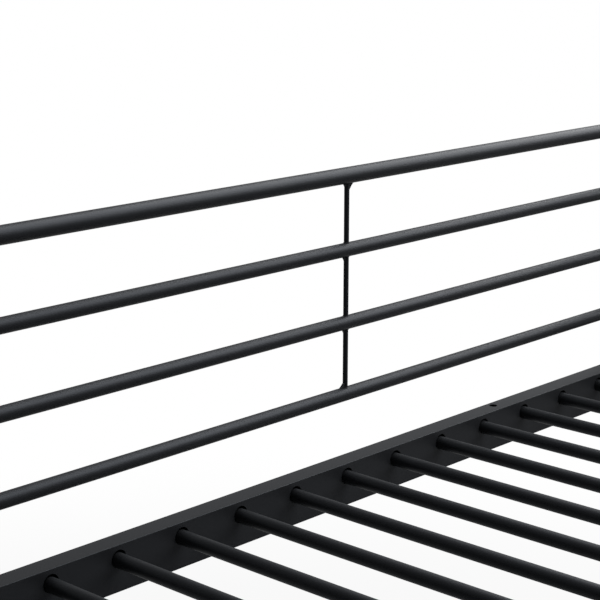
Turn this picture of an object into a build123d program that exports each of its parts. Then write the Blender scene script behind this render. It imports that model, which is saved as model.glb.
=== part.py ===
"""Metal bunk bed for two single mattresses, one above the other.

Four welded end frames carry four side rails on hook plates. Round cross bars lie loose in
punched holes of the rails and make the two slatted decks. A guard closes the back of the
upper deck and another the front, apart from the entry that the ladder leads to.

X runs along the bed, Y from the front to the back and Z up. The floor is Z = 0. Sizes are in
millimetres. Round tubes that are welded shut are modelled as bars; the rails, the posts and
the ladder's uprights show their walls, because something goes into them. What repeats many
times, such as the bars and their holes, is drawn with flats in place of a true round.
"""

from build123d import *
import os

# What the bed has to hold
mattress_length = 2032.0
mattress_width = 965.0
mattress_end_play = 12.0
mattress_side_play = 5.0
lower_rail_top = 340.0
headroom = 856.0

# Side rails and the cross rails of the end frames
rail_width = 30.0
rail_height = 60.0
rail_wall = 1.5
rail_corner = 2.0
rail_end_plate = 3.0

# Hook plates on the rails' ends and their slots in the posts
hook_thickness = 4.0
hook_neck_height = 14.0
hook_neck_play = 0.5
hook_nose_length = 6.0
hook_nose_drop = 7.0
hook_nose_lead = 2.0
hook_spacing = 30.0
hook_seat_gap = 0.2
slot_side_play = 0.5
slot_top_play = 1.0

# Posts, with what closes and joins them
post_side = 40.0
post_wall = 1.5
post_corner = 4.0
post_rise = 20.0
lower_post_rise = 20.0
plug_play = 0.3
plug_depth = 25.0
foot_height = 8.0
cap_height = 6.0
cap_chamfer = 3.0
joiner_collar = 3.0
joiner_reach = 80.0
joiner_wall = 2.0

# Cross bars of the decks
slat_diameter = 19.0
slat_end_gap = 96.8
slat_count = 19
slat_reach = 12.0
slat_hole_diameter = 23.0
slat_hole_drop = 17.9
slat_seat_gap = 0.3

# Guards, and the like tubes of the end frames
guard_tube_diameter = 19.0
guard_top_diameter = 22.0
guard_base = 93.0
guard_pitch = 100.0
guard_levels = 4
guard_rod_diameter = 7.0
guard_rod_count = 2
guard_rod_spacing = 639.0
guard_plate_thickness = 4.0
guard_plate_width = 25.0
guard_plate_overlap = 14.0

# Front guard's leg beside the entry
leg_bend_radius = 150.0
leg_hole_ladder_gap = 6.0
leg_hole_offset = 3.0
leg_hole_diameter = 12.0
leg_stand_off = 28.0
leg_plate_length = 66.0
leg_plate_width = 28.0
leg_plate_thickness = 4.0

# Ladder
ladder_clear_width = 310.0
ladder_post_gap = 2.0
ladder_upright_width = 20.0
ladder_upright_depth = 30.0
ladder_upright_wall = 1.5
ladder_upright_corner = 2.0
ladder_hand_hold = 300.0
ladder_rises = 5
ladder_rung_diameter = 25.0
ladder_foot_height = 6.0
ladder_cap_height = 3.0
ladder_plug_depth = 18.0

# Bolts and nut
small_bolt_diameter = 8.0
guard_bolt_length = 16.0
ladder_bolt_length = 42.0
leg_bolt_diameter = 10.0
leg_bolt_length = 20.0
bolt_hole_play = 0.5
bolt_head_share = 1.75
bolt_head_height_share = 0.55
leg_nut_size = 17.0
leg_nut_height = 8.0
rivet_nut_diameter = 12.0
rivet_nut_length = 8.0
nut_play = 0.1

# How many flats stand for a round
bar_flat_count = 16
hole_flat_count = 12
small_flat_count = 8
hex_flat_count = 6
corner_flat_share = 0.6

# Places worked out from the sizes above
clear_length = mattress_length + mattress_end_play
deck_width = mattress_width + mattress_side_play
row_y = (deck_width + rail_width) / 2
post_x = (clear_length + post_side) / 2
upper_rail_top = lower_rail_top + headroom + rail_height
guard_heights = [guard_base + level * guard_pitch for level in range(guard_levels)]
guard_top = guard_heights[-1]
joint_z = lower_rail_top + guard_top + guard_top_diameter / 2 + lower_post_rise
post_top = upper_rail_top + guard_top + guard_top_diameter / 2 + post_rise
slat_pitch = (clear_length - 2 * slat_end_gap) / (slat_count - 1)
slat_xs = [(index - (slat_count - 1) / 2) * slat_pitch for index in range(slat_count)]
slat_drop = slat_hole_drop + (slat_hole_diameter - slat_diameter) / 2 - slat_seat_gap
guard_span = clear_length - 2 * guard_plate_thickness
rod_xs = [(index - (guard_rod_count - 1) / 2) * guard_rod_spacing
          for index in range(guard_rod_count)]
ladder_reach = ladder_post_gap + 2 * ladder_upright_width + ladder_clear_width
leg_hole_x = clear_length / 2 - ladder_reach - leg_hole_ladder_gap
leg_x = leg_stand_off - leg_hole_x
upright_xs = [
    ladder_post_gap + ladder_upright_width / 2 - clear_length / 2,
    ladder_post_gap + 3 * ladder_upright_width / 2 + ladder_clear_width - clear_length / 2,
]
upright_y = -(row_y + (rail_width + ladder_upright_depth) / 2)
upright_top = upper_rail_top + ladder_hand_hold
guard_bolt_heights = [(guard_heights[level] + guard_heights[level + 1]) / 2
                      for level in (0, guard_levels - 2)]
small_bolt_head_height = small_bolt_diameter * bolt_head_height_share

# The bed is moved along Y so that its outer box is centred on the origin
front_reach = row_y + rail_width / 2 + ladder_upright_depth + small_bolt_head_height
back_reach = row_y + post_side / 2
centre_shift = (front_reach - back_reach) / 2

# Turns that lay a shape made along Z along another axis
along = {"X": Rot(0, 90, 0), "Y": Rot(-90, 0, 0), "Z": Rot(0, 0, 0)}


def near_circle(diameter, flats, is_hole=False):
    """A circle drawn with flats: a bar's corners lie on it, and a hole's flats touch it."""
    turn = 180 / flats if is_hole else 0
    return RegularPolygon(diameter / 2, flats, major_radius=not is_hole, rotation=turn)


def bar(centre, diameter, length, axis, flats=bar_flat_count):
    """A round bar about its centre."""
    shape = extrude(near_circle(diameter, flats), amount=length / 2, both=True)
    return Pos(*centre) * along[axis] * shape


def drill(solid, centre, diameter, depth, axis, flats=small_flat_count):
    """Take a round hole out of a solid, about the hole's centre."""
    shape = extrude(near_circle(diameter, flats, is_hole=True), amount=depth / 2, both=True)
    return solid - Pos(*centre) * along[axis] * shape


def outline(size_a, size_b, corner):
    """A rectangle whose small corner radii are drawn as one flat each."""
    return chamfer(Rectangle(size_a, size_b).vertices(), corner * corner_flat_share)


def box_tube(size_a, size_b, length, wall, corner):
    """A rectangular tube along Z, about its centre."""
    inside = Rectangle(size_a - 2 * wall, size_b - 2 * wall)
    return extrude(outline(size_a, size_b, corner) - inside, amount=length / 2, both=True)


def bolt(seat, diameter, length, direction):
    """A low-headed bolt: the head's underside is at the seat, the shank runs along direction."""
    head_height = diameter * bolt_head_height_share
    head = extrude(near_circle(diameter * bolt_head_share, hole_flat_count), amount=-head_height)
    shank = extrude(near_circle(diameter, small_flat_count), amount=length)
    return Plane(origin=seat, z_dir=direction) * (head + shank)


def nut(seat, bolt_diameter, size, height, flats, direction):
    """A nut or a rivet nut's body: its face is at the seat, it stands along direction."""
    blank = extrude(near_circle(size, flats, is_hole=True), amount=height)
    hole = extrude(near_circle(bolt_diameter + 2 * nut_play, small_flat_count, is_hole=True),
                   amount=height)
    return Plane(origin=seat, z_dir=direction) * (blank - hole)


def save(node, solids):
    """Write a node's solids, moved so that the bed's box is centred on the origin."""
    moved = [Pos(0, centre_shift, 0) * solid for solid in solids]
    for solid in moved:
        solid.label = node
    export_step(moved[0] if len(moved) == 1 else Compound(label=node, children=moved),
                f"parts/{node}.step")


# Decks


def hook_plate():
    """A rail's end plate with two hooks, outer face at X = 0 and hooks towards +X."""
    plate = extrude(Plane.YZ * outline(rail_width, rail_height, rail_corner),
                    amount=-rail_end_plate)
    neck = post_wall + hook_neck_play
    nose = neck + hook_nose_length
    for centre in (hook_spacing / 2, -hook_spacing / 2):
        top = centre + hook_neck_height / 2
        bottom = centre - hook_neck_height / 2
        edge = Polyline(
            (0, bottom), (0, top), (nose, top),
            (nose, bottom - hook_nose_drop + hook_nose_lead),
            (nose - hook_nose_lead, bottom - hook_nose_drop),
            (neck, bottom - hook_nose_drop), (neck, bottom), close=True)
        plate += extrude(make_face(Plane.XZ * edge), amount=hook_thickness / 2, both=True)
    return plate.solid()


def hook_slots(inner_face_x, y, rail_top, side):
    """The slots that one rail's hooks drop into, as bodies to cut from a post."""
    height = hook_neck_height + hook_nose_drop + slot_top_play + hook_seat_gap
    bodies = []
    for centre in (hook_spacing / 2, -hook_spacing / 2):
        bottom = rail_top - rail_height / 2 + centre - hook_neck_height / 2 - hook_seat_gap
        bodies.append(Pos(inner_face_x + side * post_wall / 2, y, bottom + height / 2)
                      * Box(2 * post_wall, hook_thickness + 2 * slot_side_play, height))
    return bodies


def side_rail(rail_top, has_leg_holes, has_ladder_holes):
    """A back side rail; a front one is the same turned half round."""
    length = clear_length - 2 * rail_end_plate
    middle_z = rail_top - rail_height / 2
    inner_y = row_y - rail_width / 2
    tube = along["X"] * box_tube(rail_height, rail_width, length, rail_wall, rail_corner)
    tube = Pos(0, row_y, middle_z) * tube
    for x in slat_xs:
        tube = drill(tube, (x, inner_y, rail_top - slat_hole_drop),
                     slat_hole_diameter, 3 * rail_wall, "Y", hole_flat_count)
    if has_leg_holes:
        for x in (-leg_hole_x, leg_hole_x):
            tube -= Pos(x, row_y + leg_hole_offset, rail_top) * Cylinder(
                leg_hole_diameter / 2, 3 * rail_wall)
    if has_ladder_holes:
        for x in upright_xs:
            tube = drill(tube, (-x, row_y + rail_width / 2, middle_z),
                         small_bolt_diameter + bolt_hole_play, 3 * rail_wall, "Y")
    right = Pos(clear_length / 2, row_y, middle_z) * hook_plate()
    left = Pos(-clear_length / 2, row_y, middle_z) * Rot(0, 0, 180) * hook_plate()
    return [tube, right, left]


def turned_round(solids):
    return [Rot(0, 0, 180) * solid for solid in solids]


def slat(x, rail_top):
    return bar((x, 0, rail_top - slat_drop), slat_diameter, deck_width + 2 * slat_reach, "Y")


def deck(name, rail_top, has_leg_holes):
    save(f"{name}_back_rail", side_rail(rail_top, has_leg_holes, False))
    save(f"{name}_front_rail", turned_round(side_rail(rail_top, has_leg_holes, True)))
    for number, x in enumerate(slat_xs, 1):
        save(f"{name}_slat_{number:02d}", [slat(x, rail_top)])


# End frames


def post(side, y, bottom, top, rail_top, guard_sides):
    """One post with the slots of its side rail and the holes of the guards bolted to it."""
    tube = Pos(side * post_x, y, (bottom + top) / 2) * box_tube(
        post_side, post_side, top - bottom, post_wall, post_corner)
    inner_face_x = side * clear_length / 2
    for body in hook_slots(inner_face_x, y, rail_top, side):
        tube -= body
    if guard_sides:
        for height in guard_bolt_heights:
            tube = drill(tube, (inner_face_x, y, rail_top + height),
                         small_bolt_diameter + bolt_hole_play, 3 * post_wall, "X")
    return tube


def end_frame(side, bottom, top, rail_top, guarded_rows):
    """Two posts, the cross rail at the deck and the tubes above it."""
    span = 2 * row_y - post_side
    cross_rail = along["Y"] * box_tube(rail_width, rail_height, span, rail_wall, rail_corner)
    solids = [post(side, row, bottom, top, rail_top, row in guarded_rows)
              for row in (-row_y, row_y)]
    solids.append(Pos(side * post_x, 0, rail_top - rail_height / 2) * cross_rail)
    for height in guard_heights:
        diameter = guard_top_diameter if height == guard_top else guard_tube_diameter
        solids.append(bar((side * post_x, 0, rail_top + height), diameter, span, "Y"))
    return solids


def at_posts(shape, z):
    """Copies of a shape at the four posts."""
    return [Pos(side * post_x, row, z) * shape for side in (-1, 1) for row in (-row_y, row_y)]


def post_plug(length):
    """The square plug that fits in a post, along Z about its centre."""
    size = post_side - 2 * post_wall - 2 * plug_play
    return Box(size, size, length)


def post_foot():
    """A plastic foot: its underside is at Z = 0."""
    pad = extrude(outline(post_side, post_side, post_corner), amount=foot_height)
    return pad + Pos(0, 0, foot_height + plug_depth / 2) * post_plug(plug_depth)


def post_cap():
    """A plastic cap: the post's top edge is at Z = 0."""
    top = extrude(outline(post_side, post_side, post_corner), amount=cap_height)
    top = chamfer(top.faces().sort_by(Axis.Z)[-1].edges(), cap_chamfer)
    return top + Pos(0, 0, -plug_depth / 2) * post_plug(plug_depth)


def post_joiner():
    """The steel sleeve between a lower and an upper post, with its collar from Z = 0 up."""
    size = post_side - 2 * post_wall - 2 * plug_play
    collar = extrude(outline(post_side, post_side, post_corner), amount=joiner_collar)
    sleeve = Pos(0, 0, joiner_collar / 2) * Box(size, size, 2 * joiner_reach + joiner_collar)
    bore_size = size - 2 * joiner_wall
    bore = Pos(0, 0, joiner_collar / 2) * Box(bore_size, bore_size, 3 * joiner_reach)
    return collar + sleeve - bore


# Guards


def guard_rods(y, rail_top):
    """The thin upright rods, cut square and welded between the tubes."""
    rods = []
    for x in rod_xs:
        for low, high in zip(guard_heights, guard_heights[1:]):
            upper_diameter = guard_top_diameter if high == guard_top else guard_tube_diameter
            bottom = rail_top + low + guard_tube_diameter / 2
            top = rail_top + high - upper_diameter / 2
            rods.append(bar((x, y, (bottom + top) / 2), guard_rod_diameter, top - bottom, "Z",
                            small_flat_count))
    return rods


def guard_plate(side, y, rail_top):
    """The flat strip at a guard's end that is bolted to the post."""
    low = rail_top + guard_heights[0] - guard_plate_overlap
    high = rail_top + guard_top + guard_plate_overlap
    x = side * (clear_length - guard_plate_thickness) / 2
    strip = Pos(x, y, (low + high) / 2) * Box(guard_plate_thickness, guard_plate_width, high - low)
    for height in guard_bolt_heights:
        strip = drill(strip, (x, y, rail_top + height), small_bolt_diameter + bolt_hole_play,
                      2 * guard_plate_thickness, "X")
    return strip


def guard_bolts(side, y, rail_top):
    seat_x = side * (clear_length / 2 - guard_plate_thickness)
    return [bolt((seat_x, y, rail_top + height), small_bolt_diameter, guard_bolt_length,
                 (side, 0, 0)) for height in guard_bolt_heights]


def back_guard():
    """Four tubes from post to post with two rods between them."""
    solids = [guard_plate(side, row_y, upper_rail_top) for side in (-1, 1)]
    for height in guard_heights:
        diameter = guard_top_diameter if height == guard_top else guard_tube_diameter
        solids.append(bar((0, row_y, upper_rail_top + height), diameter, guard_span, "X"))
    return solids + guard_rods(row_y, upper_rail_top)


def front_guard():
    """As the back guard, but its top tube bends down to a leg beside the entry."""
    right = clear_length / 2 - guard_plate_thickness
    top_z = upper_rail_top + guard_top
    foot_z = upper_rail_top + leg_plate_thickness
    path = FilletPolyline((right, -row_y, top_z), (leg_x, -row_y, top_z), (leg_x, -row_y, foot_z),
                          radius=leg_bend_radius)
    section = near_circle(guard_top_diameter, bar_flat_count)
    top_tube = sweep(Plane(origin=path @ 0, z_dir=path % 0) * section, path=path)
    plate = Pos(leg_x - leg_stand_off + leg_plate_length / 2 - leg_plate_width / 2, -row_y,
                upper_rail_top + leg_plate_thickness / 2) * Box(
        leg_plate_length, leg_plate_width, leg_plate_thickness)
    plate = drill(plate, (-leg_hole_x, -row_y - leg_hole_offset, foot_z),
                  leg_bolt_diameter + bolt_hole_play, 3 * leg_plate_thickness, "Z")
    solids = [guard_plate(1, -row_y, upper_rail_top), top_tube, plate]
    for height in guard_heights[:-1]:
        tube = bar(((leg_x + right) / 2, -row_y, upper_rail_top + height),
                   guard_tube_diameter, right - leg_x, "X")
        solids.append((tube - top_tube).solids().sort_by(Axis.X)[-1])
    return solids + guard_rods(-row_y, upper_rail_top)


def leg_bolt():
    seat = (-leg_hole_x, -row_y - leg_hole_offset, upper_rail_top + leg_plate_thickness)
    return bolt(seat, leg_bolt_diameter, leg_bolt_length, (0, 0, -1))


def leg_nut():
    """The nut under the front rail's top wall."""
    seat = (-leg_hole_x, -row_y - leg_hole_offset, upper_rail_top - rail_wall)
    return nut(seat, leg_bolt_diameter, leg_nut_size, leg_nut_height,
               hex_flat_count, (0, 0, -1))


def guard_nuts(side, y, rail_top):
    """The rivet nuts in the post's wall that take a guard's bolts."""
    seat_x = side * (clear_length / 2 + post_wall)
    return [nut((seat_x, y, rail_top + height), small_bolt_diameter, rivet_nut_diameter,
                rivet_nut_length, small_flat_count, (side, 0, 0)) for height in guard_bolt_heights]


# Ladder


def ladder():
    """Two uprights bolted to the front rails, with rungs at equal rises up to the deck."""
    length = upright_top - ladder_foot_height
    solids = []
    for x in upright_xs:
        upright = box_tube(ladder_upright_width, ladder_upright_depth, length,
                           ladder_upright_wall, ladder_upright_corner)
        upright = Pos(x, upright_y, ladder_foot_height + length / 2) * upright
        for rail_top in (lower_rail_top, upper_rail_top):
            upright = drill(upright, (x, upright_y, rail_top - rail_height / 2),
                            small_bolt_diameter + bolt_hole_play, 2 * ladder_upright_depth, "Y")
        solids.append(upright)
    for rise in range(1, ladder_rises):
        tread_z = upper_rail_top * rise / ladder_rises
        solids.append(bar((sum(upright_xs) / 2, upright_y, tread_z - ladder_rung_diameter / 2),
                          ladder_rung_diameter, ladder_clear_width, "X"))
    return solids


def ladder_bolts():
    seat_y = upright_y - ladder_upright_depth / 2
    return [bolt((x, seat_y, rail_top - rail_height / 2), small_bolt_diameter,
                 ladder_bolt_length, (0, 1, 0))
            for x in upright_xs for rail_top in (lower_rail_top, upper_rail_top)]


def ladder_nuts():
    """The rivet nuts in the front rails that take the ladder's bolts."""
    seat_y = upright_y + ladder_upright_depth / 2 + rail_wall
    return [nut((x, seat_y, rail_top - rail_height / 2), small_bolt_diameter,
                rivet_nut_diameter, rivet_nut_length, small_flat_count, (0, 1, 0))
            for x in upright_xs for rail_top in (lower_rail_top, upper_rail_top)]


def upright_end(pad_height):
    """A plastic end piece for an upright, pad from Z = 0 down and plug upwards."""
    pad = extrude(outline(ladder_upright_width, ladder_upright_depth, ladder_upright_corner),
                  amount=-pad_height)
    inset = 2 * (ladder_upright_wall + plug_play)
    plug = Pos(0, 0, ladder_plug_depth / 2) * Box(
        ladder_upright_width - inset, ladder_upright_depth - inset, ladder_plug_depth)
    return pad + plug


def main():
    os.makedirs("parts", exist_ok=True)
    deck("lower", lower_rail_top, False)
    deck("upper", upper_rail_top, True)
    upper_bottom = joint_z + joiner_collar
    for name, side in (("left", -1), ("right", 1)):
        save(f"lower_{name}_end", end_frame(side, foot_height, joint_z, lower_rail_top, ()))
        guarded = (row_y,) if side < 0 else (-row_y, row_y)
        save(f"upper_{name}_end", end_frame(side, upper_bottom, post_top, upper_rail_top, guarded))
    save("post_feet", at_posts(post_foot(), 0))
    save("post_joiners", at_posts(post_joiner(), joint_z))
    save("post_caps", at_posts(post_cap(), post_top))
    save("back_guard", back_guard())
    save("front_guard", front_guard())
    save("guard_bolts", guard_bolts(-1, row_y, upper_rail_top)
         + guard_bolts(1, row_y, upper_rail_top) + guard_bolts(1, -row_y, upper_rail_top))
    save("guard_nuts", guard_nuts(-1, row_y, upper_rail_top)
         + guard_nuts(1, row_y, upper_rail_top) + guard_nuts(1, -row_y, upper_rail_top))
    save("guard_leg_bolt", [leg_bolt()])
    save("guard_leg_nut", [leg_nut()])
    save("ladder", ladder())
    save("ladder_bolts", ladder_bolts())
    save("ladder_nuts", ladder_nuts())
    save("ladder_feet", [Pos(x, upright_y, ladder_foot_height) * upright_end(ladder_foot_height)
                         for x in upright_xs])
    save("ladder_caps", [Pos(x, upright_y, upright_top) * Rot(180, 0, 0)
                         * upright_end(ladder_cap_height) for x in upright_xs])


main()
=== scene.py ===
"""Dresses the metal bunk bed's fixed frame for its picture.

The round tubes, punched rails, posts and welds wear a satin black powder coat, the feet and
caps are black plastic, the bolts black oxide and the nuts zinc plated. Lengths are metres
and Z is up, as in the frame. Where a piece goes comes from the frame's boxes, and MM turns
the sizes named here from millimetres.
"""

import math

import bmesh
import bpy
from bpy.props import FloatProperty, FloatVectorProperty, IntProperty, PointerProperty
from mathutils import Matrix, Vector


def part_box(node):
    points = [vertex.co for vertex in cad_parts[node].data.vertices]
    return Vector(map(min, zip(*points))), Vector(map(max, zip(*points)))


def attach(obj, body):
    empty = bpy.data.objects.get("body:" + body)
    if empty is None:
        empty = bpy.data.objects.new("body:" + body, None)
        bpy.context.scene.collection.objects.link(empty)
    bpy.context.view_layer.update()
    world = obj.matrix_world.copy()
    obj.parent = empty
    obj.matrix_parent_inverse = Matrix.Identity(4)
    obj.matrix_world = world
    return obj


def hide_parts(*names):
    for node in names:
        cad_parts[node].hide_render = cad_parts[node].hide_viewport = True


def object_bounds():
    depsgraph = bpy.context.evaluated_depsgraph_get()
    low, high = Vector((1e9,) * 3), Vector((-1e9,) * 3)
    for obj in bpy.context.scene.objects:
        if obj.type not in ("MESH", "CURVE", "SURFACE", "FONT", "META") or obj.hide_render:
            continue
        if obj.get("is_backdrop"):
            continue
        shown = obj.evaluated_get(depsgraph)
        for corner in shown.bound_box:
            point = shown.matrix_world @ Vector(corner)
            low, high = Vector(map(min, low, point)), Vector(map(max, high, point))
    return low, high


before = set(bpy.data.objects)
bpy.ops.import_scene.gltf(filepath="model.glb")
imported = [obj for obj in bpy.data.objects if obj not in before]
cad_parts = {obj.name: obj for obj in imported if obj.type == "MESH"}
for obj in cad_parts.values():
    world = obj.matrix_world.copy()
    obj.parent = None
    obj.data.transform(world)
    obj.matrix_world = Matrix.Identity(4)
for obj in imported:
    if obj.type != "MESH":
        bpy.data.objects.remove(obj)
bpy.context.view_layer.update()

bl_info = {
    "name": "Metal Bunk Bed",
    "version": (1, 0, 0),
    "blender": (4, 5, 0),
    "location": "View3D > Sidebar > Bunk Bed",
    "description": "Builds the finished pieces of a metal bunk bed round its CAD frame",
    "category": "Object",
}

MM = 0.001
BODY = "root"


def middle(node):
    """The centre of a node's box."""
    low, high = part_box(node)
    return (low + high) / 2


# Places that the frame gives
BACK_Y = middle("upper_back_rail").y
FRONT_Y = middle("upper_front_rail").y
HALF_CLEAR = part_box("back_guard")[1].x
HALF_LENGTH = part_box("post_feet")[1].x
POST_X = (HALF_CLEAR + HALF_LENGTH) / 2
POST_SIDE = HALF_LENGTH - HALF_CLEAR
RAIL_TOPS = {deck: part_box(f"{deck}_back_rail")[1].z for deck in ("lower", "upper")}
RAIL_LOW, RAIL_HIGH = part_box("upper_back_rail")
RAIL_WIDTH = RAIL_HIGH.y - RAIL_LOW.y
RAIL_HEIGHT = RAIL_HIGH.z - RAIL_LOW.z
SLAT_COUNT = sum(node.startswith("upper_slat_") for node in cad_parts)
SLAT_PITCH = middle("upper_slat_02").x - middle("upper_slat_01").x
SLAT_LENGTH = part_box("upper_slat_01")[1].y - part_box("upper_slat_01")[0].y

# Sizes that the boxes don't give, as in the CAD source
GUARD_PLATE_OVERLAP = 14 * MM
GUARD_PLATE_THICKNESS = 4 * MM
RAIL_END_PLATE = 3 * MM
LEG_PLATE_THICKNESS = 4 * MM
LEG_STAND_OFF = 28 * MM
LEG_HOLE_LADDER_GAP = 6 * MM
LEG_HOLE_OFFSET = 3 * MM
UPRIGHT_WIDTH = 20 * MM
LADDER_RISES = 5
ROD_SPACING = 639 * MM
GUARD_LEVELS = 4
SMALL_BOLT = 8 * MM
GUARD_BOLT_LENGTH = 16 * MM
LADDER_BOLT_LENGTH = 42 * MM
LEG_BOLT = 10 * MM
LEG_BOLT_LENGTH = 20 * MM
BOLT_HOLE_PLAY = 0.5 * MM
BOLT_HEAD_SHARE = 1.75
BOLT_HEAD_HEIGHT_SHARE = 0.55
BOLT_SOCKET_SHARE = 0.62

# The wall cutters' depth, the inset of the tubes in the leg, the least length of a post, and
# where the guards' tubes meet their end plates
CUTTER_DEPTH = 6 * MM
TUBE_START = 2 * MM
POST_LENGTH_MIN = 500 * MM
GUARD_WALL_X = HALF_CLEAR - GUARD_PLATE_THICKNESS

# Heights of the guard tubes over a deck's rail, from the back guard's box
GUARD_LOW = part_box("back_guard")[0].z + GUARD_PLATE_OVERLAP - RAIL_TOPS["upper"]
GUARD_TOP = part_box("back_guard")[1].z - GUARD_PLATE_OVERLAP - RAIL_TOPS["upper"]
TOP_LEVEL = GUARD_LEVELS - 1
GUARD_PITCH = (GUARD_TOP - GUARD_LOW) / TOP_LEVEL
ROD_XS = (-ROD_SPACING / 2, ROD_SPACING / 2)
UPRIGHT_XS = (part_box("ladder")[0].x + UPRIGHT_WIDTH / 2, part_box("ladder")[1].x - UPRIGHT_WIDTH / 2)

# The leg stands beside the ladder's right upright, and the lowest tubes meet it below its bend
LEG_HOLE_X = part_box("ladder")[1].x + LEG_HOLE_LADDER_GAP
LEG_X = LEG_HOLE_X + LEG_STAND_OFF
LEG_SEAMS = 2

# Ways, and turns that lay a copy's own Z along another way
ALONG_X, ALONG_Y, ALONG_Z = (1, 0, 0), (0, 1, 0), (0, 0, 1)
QUARTER = math.pi / 2
FACING = {"+X": (0, QUARTER, 0), "-X": (0, -QUARTER, 0), "+Y": (-QUARTER, 0, 0),
          "-Z": (math.pi, 0, 0)}
UNIT = (1, 1, 1)

# Weld fillets beside a rod: tube's level, side, above or below the tube, width and height
ROD_FILLETS = ((3, -1, "below", 3.8 * MM, 4.6 * MM), (3, 1, "below", 9.6 * MM, 8.8 * MM),
               (2, -1, "below", 4.9 * MM, 6.0 * MM), (1, -1, "below", 4.5 * MM, 5.0 * MM),
               (0, -1, "above", 9.4 * MM, 6.6 * MM))
ROD_FILLET_DEPTH = 5 * MM
ROD_BEAD_RADIUS = 0.8 * MM
FILLET_TURNS = {("below", 1): (0, 0, 0), ("below", -1): (0, 0, math.pi),
                ("above", -1): (0, math.pi, 0)}

# A fillet of unit size: its outline's X and Z, and half its depth there
FILLET_OUTLINE = ((-0.5, 0.25, 0.5), (0.6, 0.25, 0.4), (1.0, 0.1, 0.25), (0.42, -0.38, 0.36),
                  (0.06, -1.0, 0.3), (-0.5, -1.0, 0.3))
FILLET_SOFTENING = 0.12

# A bolt head from its seat on: shares of the rim's radius and of the head's height. The
# shank's tip is a share of the diameter, and the socket ends at a share of the height
HEAD_OUTLINE = ((1.0, 0.0), (1.0, 0.25), (0.96, 0.5), (0.84, 0.78), (0.66, 0.96), (0.56, 1.0))
BOLT_TIP_SHARE = 0.08
SOCKET_END_SHARE = 0.4

# How far the edges of the CAD solids are rounded
SHEET_SOFTENING = 0.4 * MM
PLATE_SOFTENING = 0.5 * MM
TUBE_SOFTENING = 0.6 * MM
PLASTIC_SOFTENING = 0.7 * MM
POST_SOFTENING = 1.2 * MM

# In walls of a rail: how far its bore's corners and length differ, and a hole cutter's depth
BORE_CORNER_WALLS = 0.8
BORE_EXTRA_WALLS = 8.0
PUNCH_WALLS = 3.0

# How finely curved shapes are drawn
BEND_STEPS = 24
CORNER_STEPS = 4
SEAM_STEPS = 32
BEAD_SIDES = 10
HOLE_SIDES = BOLT_SIDES = 48
EDGE_SEGMENTS = 3
FILLET_SEGMENTS = 2
ROUND_PROFILE = 0.5
RIPPLE_SHARE = 0.14
RIPPLE_POINTS = 3.0

# How a node's triangles are merged and its edges found
MERGE_DISTANCE = 0.002 * MM
FLAT_ANGLE = math.radians(0.5)
SHARP_ANGLE = math.radians(25)
LONG_EDGE = 200 * MM

# Finishes by name, their optics, and the widths and shares of their patterns
COAT = "Satin black powder coat"
PLASTIC = "Black moulded polypropylene"
BOLT_STEEL = "Black oxide steel"
ZINC = "Zinc plated steel"
COAT_IOR = 1.5
PLASTIC_IOR = 1.49
PLASTIC_ROUGHNESS = 0.58
OXIDE_ROUGHNESS = 0.45
ZINC_ROUGHNESS = 0.36
COLOUR_DRIFT = 60 * MM
COAT_SPREAD = 0.02
PLASTIC_SPREAD = 0.1
MOULD_GRAIN = 0.8 * MM
MOULD_DEPTH = 0.03 * MM
METAL_PATCH = 5 * MM
METAL_SPREAD = 0.15
METAL_ROUGHNESS_SPREAD = 0.05

# Where nearly all of a noise lies
NOISE_LOW = 0.3
NOISE_HIGH = 0.7

# Studio: a soft box is a name, the way to it, its distance, size and power
FLOOR_REACH = 15.0
FLOOR_ROUGHNESS = 0.9
FLOOR_WHITE_FROM = 2.2
FLOOR_WHITE_TO = 4.5
FLOOR_CAMERA_SHARE = 0.86
FLOOR_GLOSSY_SHARE = 0.2
SKY_GLOSSY_SHARE = 0.45
FILL_LIGHT = 0.08
SOFT_BOXES = (("key_soft_box", (0.65, -0.08, 0.8), 3.3, 3.4, 225.0),)
SENSOR_WIDTH = 36.0
FRAME_PIXELS = 600

TREES = {}


def linear(hex_colour):
    """An sRGB hex colour as linear red, green, blue and alpha."""
    channels = [int(hex_colour[place:place + 2], 16) / 255 for place in (1, 3, 5)]
    return tuple(value / 12.92 if value <= 0.04045 else ((value + 0.055) / 1.055) ** 2.4
                 for value in channels) + (1.0,)


# What a user would change: lengths in millimetres, angles in degrees, shares and colours


def a_length(name, description, millimetres):
    return FloatProperty(name=name, description=description, default=millimetres * MM,
                         unit="LENGTH")


def an_angle(name, description, degrees):
    return FloatProperty(name=name, description=description, default=math.radians(degrees),
                         subtype="ANGLE")


def a_share(name, description, default):
    return FloatProperty(name=name, description=description, default=default, min=0, max=1,
                         subtype="FACTOR")


def a_colour(name, description, hex_colour):
    return FloatVectorProperty(name=name, description=description, default=linear(hex_colour),
                               size=4, subtype="COLOR", min=0, max=1)


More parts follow.
